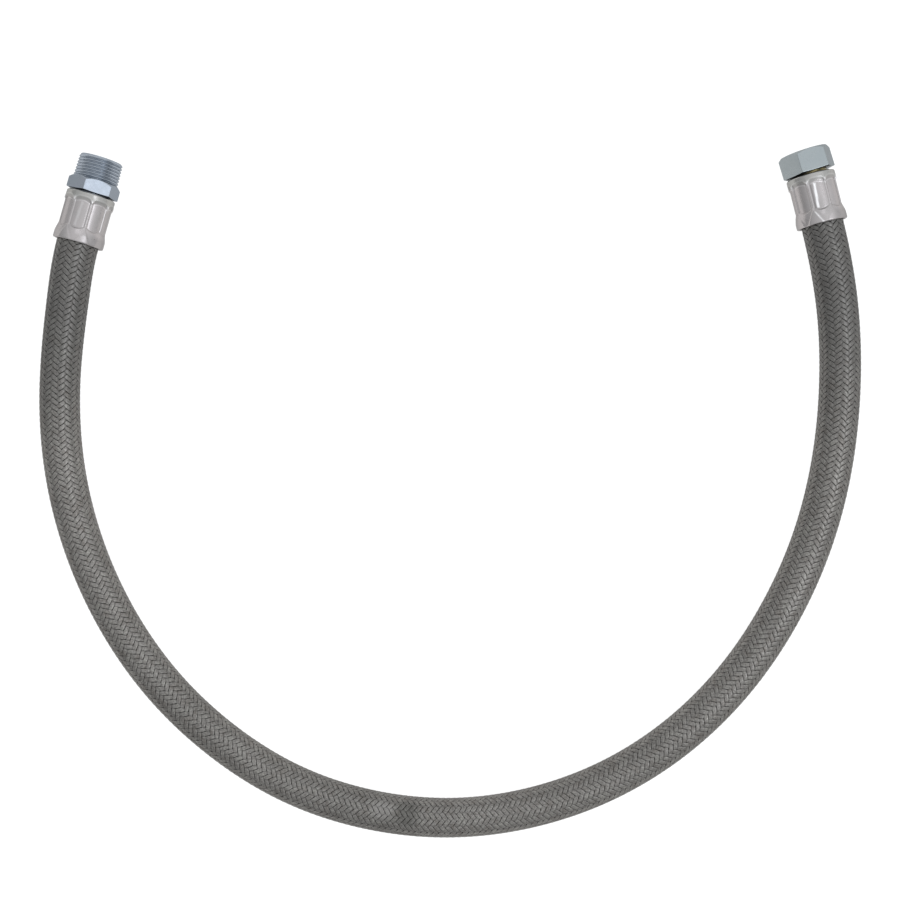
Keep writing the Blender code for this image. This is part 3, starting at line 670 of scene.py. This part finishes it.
def ferrule(name, fitting, turn, dent, folds, flares):
    """Pressed sleeve. Its outside is a radius over distance U and angle from the nearest fold, with T
    going from 0 on a fold to 1 on the middle of a panel.

    Eight nearly plain panels lie between narrow folds. Each panel ends in an arc at both ends. Towards
    the mouth the folds spread into the flare as raised triangles, and towards the front the wall
    rises over the arcs into a smooth bead. A dent is the angle and depth of a slope pressed along a
    panel. Folds and flares hold the heights of the eight folds and of the triangles below them."""
    half = np.array([0.0, 0.02, 0.045, 0.07, 0.10, 0.13, 0.16, 0.19, 0.23, 0.29, 0.36, 0.44, 0.52, 0.6,
                     0.7, 0.8, 0.9])
    within = np.concatenate([half, [1.0], 2.0 - half[:0:-1]])
    across = (np.arange(JAWS)[:, None] + within / 2.0).ravel()
    angles = math.radians(turn) + across * 2.0 * np.pi / JAWS
    degrees = np.degrees(angles)[None, :]
    T = np.tile(np.minimum(within, 2.0 - within), JAWS)[None, :]
    u = np.concatenate([[0.0, 0.12, 0.35, 0.7], np.arange(1.1, FERRULE_LENGTH - 1.1, 0.25),
                        FERRULE_LENGTH - np.array([1.1, 0.7, 0.35, 0.12, 0.0])])
    U = u[:, None]

    nearest = (np.arange(JAWS)[:, None] + (within > 1.0)).ravel() % JAWS
    fold_height, flare_height = np.array(folds)[nearest][None, :], np.array(flares)[nearest][None, :]

    # Panels, with a low crown, folds that have a fine line along their tops, a crease beside each
    # fold, and the dent.
    bulge = 1.0 - (1.0 - T) ** 2
    top, bottom = FRONT_ARC[0] + FRONT_ARC[1] * bulge, BACK_ARC[0] + BACK_ARC[1] * bulge
    crest = CREST_ARC[0] + CREST_ARC[1] * (1.0 - (1.0 - np.clip((T - 0.04) / 0.96, 0.0, 1.0)) ** 5)
    fold = fold_height * (1.0 - smooth((T - 0.06) / 0.13)) - 0.10 * bump_at(T, 0.035)
    crease = 0.07 * bump_at(T - 0.21, 0.035)
    dent_angle, dent_depth = dent
    aside = (degrees - dent_angle + 180.0) % 360.0 - 180.0
    reach = smooth((U - 10.5) / 1.5) * smooth((30.5 - U) / 1.5)
    rise = smooth((aside + 3.7 - 0.22 * (20.0 - U)) / 7.4) * (1.0 - smooth((aside - 5.0) / 5.5))
    panel = PANEL_RING + 0.08 * bulge + fold - crease + dent_depth * rise * reach
    bead = BEAD_RING + 0.2 * (1.0 - T)

    # Flare, with a raised triangle below each fold.
    down = np.clip((10.5 - U) / 10.5, 0.0, 1.0)
    edge = 0.05 + 0.76 * down
    raised = 1.0 - smooth((T - edge + 0.1) / 0.2)
    flare = FLARE_RING + FLARE_RISE * smooth((13.5 - U) / 9.0) + flare_height * raised

    # The three meet, with lips along the arcs and the crest, a knob at the end of each fold, and a
    # groove along the back arc.
    to_bead = smooth((U - top - 0.2) / (crest - top + 0.3))
    to_flare = smooth((bottom - U) / 1.3)
    arc_lip = bump_at(U - top + 0.1, 0.35) * smooth((T - 0.15) / 0.15)
    arch_lip = bump_at(U - crest, 0.42)
    knob = bump_at(U - 31.0, 2.2) * bump_at(T, 0.14)
    radius = panel + (bead - panel) * to_bead + (flare - panel) * to_flare
    radius = radius + 0.14 * arc_lip + 0.08 * arch_lip + 0.36 * knob - 0.10 * bump_at(U - bottom + 0.2, 0.4)

    # Painted light: painted highlights on the lips, knobs, the dent's streak and the triangles' edges,
    # and painted shade on the slopes into the bead, in the back arcs' grooves and on the flare's right-hand
    # side.
    slope = smooth((U - top - 0.3) / 0.5) * smooth((crest - 0.5 - U) / 0.5)
    dent_streak_highlight = smooth((3.6 - np.abs(aside + 0.22 * (U - 20.0))) / 1.2) * reach * min(1.0, dent_depth / 0.3)
    flare_edge = bump_at(T - edge, 0.06) * smooth((U - 0.3) / 0.5) * smooth((9.5 - U) / 1.0)
    right_edge = np.tile(within > 1.0, JAWS)[None, :] * flare_edge
    painted_light = 0.26 * arc_lip + 0.17 * arch_lip + 0.6 * knob * smooth(32.4 + 14.0 * T - U) - 0.22 * slope
    painted_light = painted_light + 0.9 * dent_streak_highlight + right_edge * np.clip((flare_height - 0.3) * 3.0, 0.0, 0.7)
    painted_light = painted_light - 0.3 * smooth((9.0 - U) / 4.0) * smooth((78.0 - degrees % 360.0) / 14.0)
    painted_light = painted_light - 0.3 * bump_at(U - bottom + 0.2, 0.35) * smooth((T - 0.2) / 0.2)

    # Rounded rims, and the inside, which opens towards the mouth.
    rim = np.clip(1.0 - U / 1.2, 0.0, 1.0)
    front = np.clip(1.0 - (FERRULE_LENGTH - U) / 1.2, 0.0, 1.0)
    radius = radius - RIM_ROUND * (1.0 - np.sqrt(1.0 - rim ** 2))
    radius = radius - FRONT_ROUND * (1.0 - np.sqrt(1.0 - front ** 2 * 0.999))
    rows = [(radius[i], u[i]) for i in range(len(u))]
    rows += [(15.2, FERRULE_LENGTH), (12.81, FERRULE_LENGTH), (12.81, 33.9), (15.5, 33.9), (15.5, 12.0),
             (16.2, 8.0), (16.8, 5.0), (16.8, 0.6), (17.0, 0.15), (17.3, 0.0)]
    points = around(fitting, rows, angles)
    along = np.array([float(np.mean(row[1])) for row in rows] + [0.0]) / 100.0
    painted_light = np.vstack([painted_light, np.zeros((len(rows) - len(u), len(angles)))])
    return grid_piece(name, points[None], STEEL, closed_rows=True, along=along,
                      across=np.append(across, JAWS) / JAWS, sharp=40.0, painted_light=painted_light)


# A six-sided collar's cones, in distance along for each mm that a corner stands out, and the size of
# its softened edges.
FRONT_CONE = 0.82
BACK_CONE = 0.12
EDGE_SOFT = 0.12
CORNER_BLEND = 0.07


def hexagon(flats, corner, angles):
    """Radius of a hexagon at angles, for one corner's angle in degrees: the smooth minimum of the
    distances to the nearest flat and to the next."""
    from_flat = (angles - math.radians(corner)) % (np.pi / 3.0) - np.pi / 6.0
    near = flats / 2.0 / np.cos(from_flat)
    far = flats / 2.0 / np.cos(np.pi / 3.0 - np.abs(from_flat))
    low = near.min()
    both = np.exp(-(near - low) / CORNER_BLEND) + np.exp(-(far - low) / CORNER_BLEND)
    return low - CORNER_BLEND * np.log(both)


def hexagon_angles(corner):
    """Angles round a hexagon, closer together at its corners."""
    sector = np.array([0.0, 0.5, 1.2, 2.2, 4.0, 6.5, 9.5, 13.0, 17.0, 21.0, 25.5, 30.0])
    sector = np.concatenate([sector, 60.0 - sector[-2:0:-1]])
    return np.radians(corner + (np.arange(6)[:, None] * 60.0 + sector).ravel())


def hexagon_rows(flats, corner, angles, start, end):
    """Rows of a hexagonal collar, from its front rim to its back rim, with coned and softened ends.

    Each end's cone starts at the circle inside the flats, so that its edge with a flat is a curve:
    distance = end less slope times how far the hexagon stands out of that circle."""
    out = hexagon(flats, corner, angles)
    inner = flats / 2.0
    stand = out - inner
    front, back = end - 0.15 - FRONT_CONE * stand, start + 0.15 + BACK_CONE * stand
    inset, turn = EDGE_SOFT * 0.7, EDGE_SOFT * 1.3
    rows = [(inner - 0.5, end), (inner - 0.12, end - 0.03)]
    rows += [(inner + stand * share, end - 0.15 - FRONT_CONE * stand * share) for share in (0.3, 0.6)]
    rows += [(out - inset, front), (out, front - turn), (out, front - turn - 0.3)]
    rows += [(out, back + turn + 0.3), (out, back + turn), (out - inset, back)]
    rows += [(inner + stand * 0.5, start + 0.15 + BACK_CONE * stand * 0.5), (inner - 0.12, start + 0.03)]
    return rows + [(inner - 0.5, start)]


# Threads, and what the two nipples have in common: bore, neck, and the barbed tail's radius, barb
# height and reach.
PITCH = 2.309
THREAD_SHARPNESS = 0.93
THREAD_STEP = 0.15
MALE_THREAD_DEPTH = 0.92
NUT_THREAD_DEPTH = 1.15
BORE = 8.71
NECK = 12.51
TAIL = 10.71
BARB = 0.7
BARBS = 5
TAIL_REACH = (2.2, 33.9)


def thread_wave(turns):
    """Section of a pipe thread over its turns: a triangle wave with rounded crests and roots, 0 to 1."""
    return 0.5 + 0.5 * np.arcsin(THREAD_SHARPNESS * np.cos(2.0 * np.pi * turns)) / math.asin(THREAD_SHARPNESS)


def tail_rows():
    """Rows of the barbed tail, from the neck to the end in the hose: five saw teeth."""
    end, neck = TAIL_REACH
    pitch = (neck - end) / BARBS
    rows = [(NECK, neck), (TAIL - BARB, neck)]
    for i in range(BARBS, 0, -1):
        top = end + i * pitch
        if i < BARBS:
            rows.append((TAIL - BARB, top))
        rows.append((TAIL, top - 0.3 * pitch))
    return rows + [(TAIL - BARB, end), (BORE + 0.3, end), (BORE, end + 0.3)]


def male_nipple():
    """Collar of six flats, taper thread, bore and barbed tail, as one grid round the axis.

    The thread is a helix: the crest's distance grows by a pitch for each turn to the right. It tapers
    by 1 in 32 of radius, runs out towards the collar and is chamfered at the tip."""
    corner = 36.2
    angles = hexagon_angles(corner)
    start, end, tip = 38.5, 48.7, 65.8
    u = np.arange(end + THREAD_STEP, tip, THREAD_STEP)[::-1]
    U, A = u[:, None], angles[None, :]
    crest = 16.80 - (U - end) / 32.0
    depth = MALE_THREAD_DEPTH * smooth((U - end + 0.6) / 1.2)
    radius = crest - depth * (1.0 - thread_wave(U / PITCH + A / (2.0 * np.pi)))
    radius = np.minimum(radius, 15.0 + (tip - U) * 1.1)
    rows = [(BORE, 30.0), (BORE, tip - 0.6), (BORE + 0.6, tip), (15.0, tip)]
    rows += [(radius[i], u[i]) for i in range(len(u))]
    rows += [(16.2, end)]
    rows += hexagon_rows(34.0, corner, angles, start, end)
    rows += [(NECK + 0.3, start), (NECK, start - 0.3)]
    rows += tail_rows()
    points = around(MALE, rows, angles)
    turned = np.degrees(angles) % 360.0
    painted_light = np.zeros((len(rows), len(angles)))
    # Thread: lighter all round, with painted shade on its upper right, where it is lightened less and has a
    # dark band at 54 degrees.
    painted_light[4:4 + len(u)] = 0.12 + 0.08 * smooth((turned - 80.0) / 40.0) - 0.22 * bump_at(turned - 54.0, 9.0)
    return grid_piece("male_nipple_body", points[None], ZINC_BLUE, closed_rows=True, sharp=38.0, painted_light=painted_light)


def swivel_nut():
    """Loose nut: six flats, coned ends, a hole for the nipple's neck and a parallel inside thread."""
    corner = 58.5
    angles = hexagon_angles(corner)
    length, back_wall, bore = 16.6, 3.8, 15.15
    u = np.arange(back_wall + 0.25, length - 0.15, THREAD_STEP)
    U, A = u[:, None], angles[None, :]
    depth = NUT_THREAD_DEPTH * smooth((U - back_wall - 0.6) / 1.5)
    radius = bore + depth * (1.0 - thread_wave(U / PITCH + A / (2.0 * np.pi)))
    radius = np.maximum(radius, bore + 1.0 - (length - U) * 0.9)
    rows = hexagon_rows(35.0, corner, angles, 0.0, length)
    rows += [(13.3, 0.0), (13.01, 0.3), (13.01, back_wall), (bore, back_wall)]
    rows += [(radius[i], u[i]) for i in range(len(u))]
    rows += [(bore + 1.05, length)]
    points = around(NUT, rows, angles)
    return grid_piece("swivel_nut_body", points[None], ZINC_GREEN, closed_rows=True, sharp=38.0)


def swivel_nipple():
    """Turned brass nipple: cone nose, head, neck, the thin collar behind the nut, and the barbed tail."""
    angles = np.linspace(0.0, 2.0 * np.pi, 96, endpoint=False)
    rows = [(BORE, 30.0), (BORE, 52.3), (BORE + 0.4, 52.72), (10.1, 52.72), (10.31, 52.5)]
    rows += [(13.85, 46.4), (14.01, 46.1), (14.01, 44.31), (NECK, 44.31)]
    rows += [(NECK, 38.4), (14.6, 38.4), (14.81, 38.2), (14.81, 38.0), (14.6, 37.8), (NECK, 37.8)]
    rows += tail_rows()
    points = around(SWIVEL, rows, angles)
    return grid_piece("swivel_nipple_body", points[None], BRASS, closed_rows=True, sharp=32.0)


male_ferrule = ferrule("male_ferrule_sleeve", MALE, 23.1, (93.0, 0.06),
                       [0.62, 0.62, 0.45] + [0.6] * 5, [0.2, 0.3, 0.25] + [0.3] * 5)
swivel_ferrule = ferrule("swivel_ferrule_sleeve", SWIVEL, 28.0, (102.6, 0.45),
                         [0.6, 0.5, 0.62] + [0.6] * 5, [0.3, 0.15, 0.55] + [0.3] * 5)
for made, node, body, finish in (
        (male_ferrule, "male_ferrule", "hose_assembly", "pressed_steel"),
        (swivel_ferrule, "swivel_ferrule", "hose_assembly", "pressed_steel"),
        (male_nipple(), "male_nipple", "hose_assembly", "zinc_plate"),
        (swivel_nipple(), "swivel_nipple", "hose_assembly", "brass"),
        (swivel_nut(), "swivel_nut", "nut", "zinc_plate")):
    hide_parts(node)
    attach(made, body)
